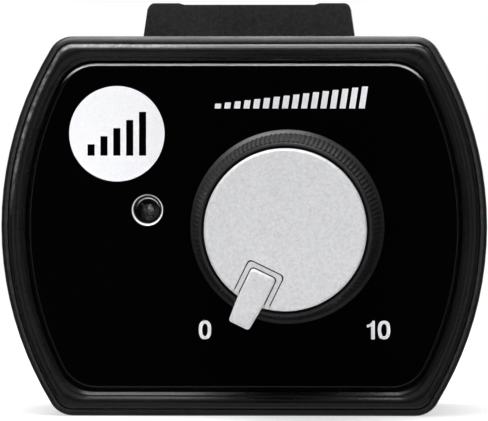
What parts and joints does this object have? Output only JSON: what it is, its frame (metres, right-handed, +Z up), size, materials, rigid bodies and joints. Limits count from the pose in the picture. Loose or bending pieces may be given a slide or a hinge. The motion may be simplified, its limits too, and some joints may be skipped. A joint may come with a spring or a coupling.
{
  "type": "wired remote level control",
  "caption": "Under-dash remote level control: bowed black housing on a slide-off clip, with a turning knob, an indicator LED and a modular cable socket.",
  "frame": {"origin": "on the clip's top face, between its two raised seats and midway between its two screw holes", "axes": "+X to the right as seen from the front, +Y to the back, +Z up; the face looks along -Y"},
  "size_m": [0.0509, 0.0387, 0.0434],
  "materials": {
    "shell_black": "fine-grained black",
    "rear_black": "fine-grained black",
    "panel_gloss": "polished black",
    "tape": "matte",
    "knob_black": "satin black",
    "silver": "fine silver paint on plastic",
    "spring_steel": "plain",
    "shaft_steel": "turned",
    "rotor": "natural",
    "wiper": "plain",
    "pot_metal": "zinc plated",
    "pot_black": "matte",
    "pot_board": "laminate",
    "nut_brass": "plain",
    "board_green": "solder mask",
    "chip": "matte",
    "capacitor": "sleeved",
    "lens": "clear epoxy",
    "lead": "tinned",
    "jack_black": "satin black",
    "contact": "gold plated",
    "screw_steel": "black zinc",
    "clip_black": "fine-grained black",
    "print_white": "screen print"
  },
  "bodies": {
    "housing": {"front_shell": "shell_black", "rear_shell": "rear_black", "face_panel": "panel_gloss", "panel_tape": "tape", "pot_bushing": "pot_metal", "pot_case": "pot_black", "pot_base": "pot_board", "pot_washer": "pot_metal", "pot_nut": "nut_brass", "circuit_board": "board_green", "resistor_1": "chip", "resistor_2": "chip", "capacitor": "capacitor", "led_lens": "lens", "led_lead_1": "lead", "led_lead_2": "lead", "jack_housing": "jack_black", "pot_pin_1": "lead", "pot_pin_2": "lead", "pot_pin_3": "lead", "jack_contact_1": "contact", "screw_1": "screw_steel", "jack_contact_2": "contact", "screw_2": "screw_steel", "jack_contact_3": "contact", "screw_3": "screw_steel", "jack_contact_4": "contact", "screw_4": "screw_steel"},
    "knob": {"knob_body": "knob_black", "knob_cap": "silver", "knob_spring": "spring_steel", "pot_shaft": "shaft_steel", "pot_rotor": "rotor", "pot_wiper": "wiper"},
    "clip": {"mounting_clip": "clip_black"}
  },
  "joints": [
    {"name": "knob_turn", "type": "hinge", "parent": "housing", "child": "knob", "pos_m": [0.00425, -0.0176, -0.02332], "axis": [0, 1, 0], "range_deg": [0, 308]},
    {"name": "clip_slide", "type": "slide", "parent": "housing", "child": "clip", "axis": [0, 1, 0], "range_m": [0, 0.015]}
  ]
}
